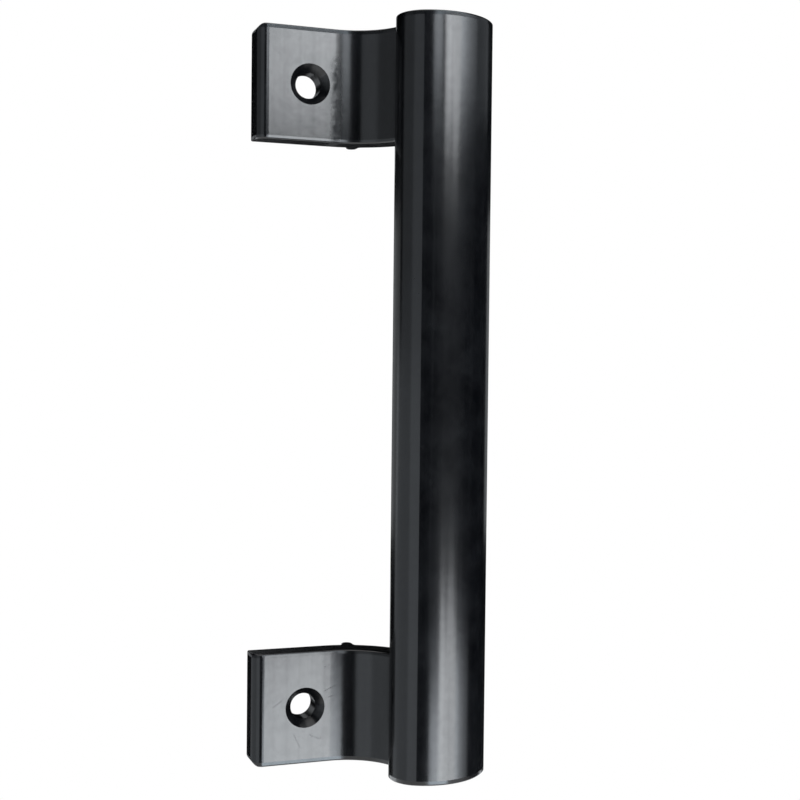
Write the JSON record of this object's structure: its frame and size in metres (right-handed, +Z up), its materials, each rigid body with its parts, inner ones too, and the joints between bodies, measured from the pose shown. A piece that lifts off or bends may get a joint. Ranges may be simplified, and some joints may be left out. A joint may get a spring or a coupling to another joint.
{
  "type": "sliding patio door pull handle",
  "caption": "Black extruded aluminium pull for a sliding patio door: a long oval grip on a curved web, with a countersunk mounting tab at each end.",
  "frame": {"origin": "midway between the two screw holes, on the face that meets the door", "axes": "+Z up along the grip; -Y out of the door towards the hand; +X across the door from the mounting tabs to the grip"},
  "size_m": [0.0593, 0.0388, 0.1988],
  "materials": {
    "black_finish": "satin black finish on extruded aluminium"
  },
  "bodies": {
    "root": {"pull_handle": "black_finish"}
  },
  "joints": []
}
